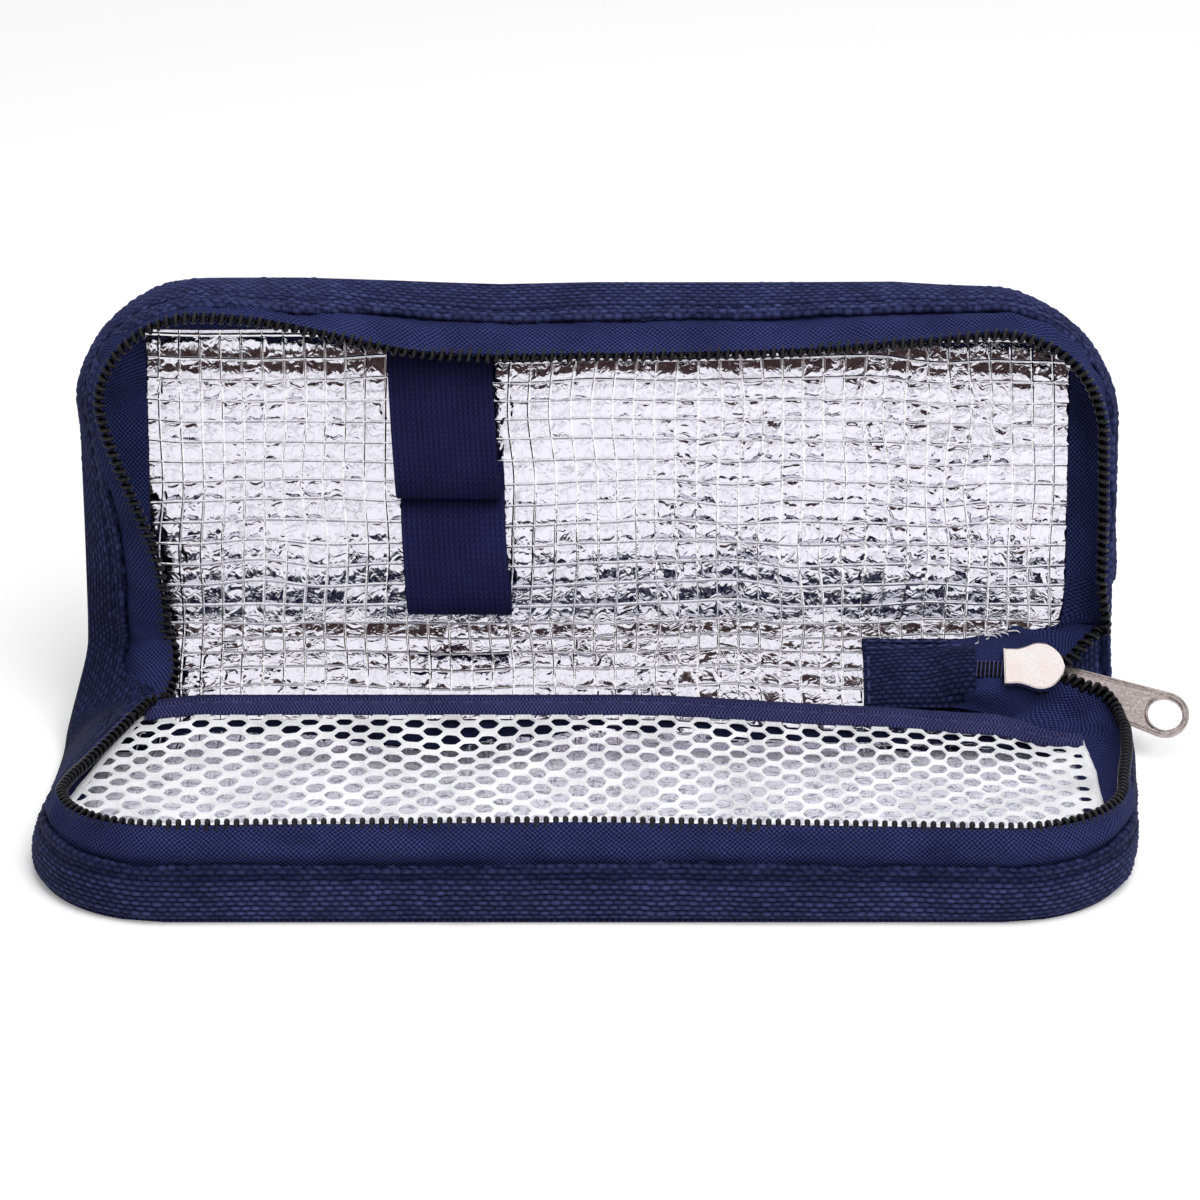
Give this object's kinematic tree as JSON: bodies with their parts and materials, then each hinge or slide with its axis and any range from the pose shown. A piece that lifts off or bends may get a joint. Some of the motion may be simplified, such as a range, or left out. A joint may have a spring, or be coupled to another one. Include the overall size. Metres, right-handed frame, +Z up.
{
  "type": "zip-around cooling case",
  "caption": "Soft zip-around cooling case standing open: padded leaves lined with silver foil, a mesh pocket, elastic pen loops and a zip slider with its pull. Keeps insulin cool in transit.",
  "frame": {"origin": "middle of the base leaf's flat underside", "axes": "+X along the spine to the viewer's right, +Y from the base leaf's front edge towards the spine, +Z up"},
  "size_m": [0.2176, 0.099, 0.0868],
  "materials": {
    "oxford_cloth": "coarse woven oxford cloth, navy",
    "webbing": "woven binding tape, navy",
    "zip_tape": "fine woven zip tape, navy",
    "elastic": "knitted elastic, navy",
    "zip_coil": "black nylon coil",
    "foam": "soft insulating foam",
    "foil_lining": "metallised film pressed onto a square scrim",
    "net": "white knitted mesh",
    "nickel": "nickel-plated zinc"
  },
  "bodies": {
    "base": {"base_cover": "oxford_cloth", "base_foam": "foam", "base_lining": "foil_lining", "base_binding": "webbing", "base_zip_tape": "zip_tape", "base_zip_coil": "zip_coil", "pocket_net": "net", "pocket_edge": "webbing"},
    "spine": {"spine_cover": "oxford_cloth", "spine_foam": "foam", "spine_lining": "foil_lining", "spine_binding_left": "webbing", "spine_binding_right": "webbing", "zip_gusset_left_base": "zip_tape", "zip_gusset_left_lid": "zip_tape", "zip_gusset_right_base": "zip_tape", "zip_gusset_right_lid": "zip_tape", "zip_end_coil_left_base": "zip_coil", "zip_end_coil_left_lid": "zip_coil", "zip_end_coil_right_base": "zip_coil", "zip_end_coil_right_lid": "zip_coil", "zip_tail": "zip_coil", "zip_end_tab": "oxford_cloth"},
    "lid": {"lid_cover": "oxford_cloth", "lid_foam": "foam", "lid_lining": "foil_lining", "lid_binding": "webbing", "lid_zip_tape": "zip_tape", "lid_zip_coil": "zip_coil", "pen_band": "elastic"},
    "slider": {"slider_body": "nickel"},
    "pull": {"slider_pull": "nickel"}
  },
  "joints": [
    {"name": "lower_fold", "type": "hinge", "parent": "base", "child": "spine", "pos_m": [0, 0.0355, 0], "axis": [1, 0, 0], "range_deg": [-41, 43], "deforming": ["zip_gusset_left_base", "zip_gusset_right_base", "zip_end_coil_left_base", "zip_end_coil_right_base", "spine_binding_left"]},
    {"name": "upper_fold", "type": "hinge", "parent": "spine", "child": "lid", "pos_m": [0, 0.05361, 0.01574], "axis": [1, 0, 0], "range_deg": [-41, 43], "deforming": ["zip_gusset_left_lid", "zip_gusset_right_lid", "zip_end_coil_left_lid", "zip_end_coil_right_lid", "spine_binding_right"]},
    {"name": "slider_run", "type": "slide", "parent": "spine", "child": "slider", "axis": [1, 0, 0], "range_m": [-0.0045, 0]},
    {"name": "pull_swing", "type": "hinge", "parent": "slider", "child": "pull", "pos_m": [0.0874, 0.04183, 0.01299], "axis": [0, -0.6561, 0.7547], "range_deg": [0, 30]}
  ],
  "couplings": [
    {"joint": "upper_fold", "follows": "lower_fold", "ratio": 1}
  ]
}
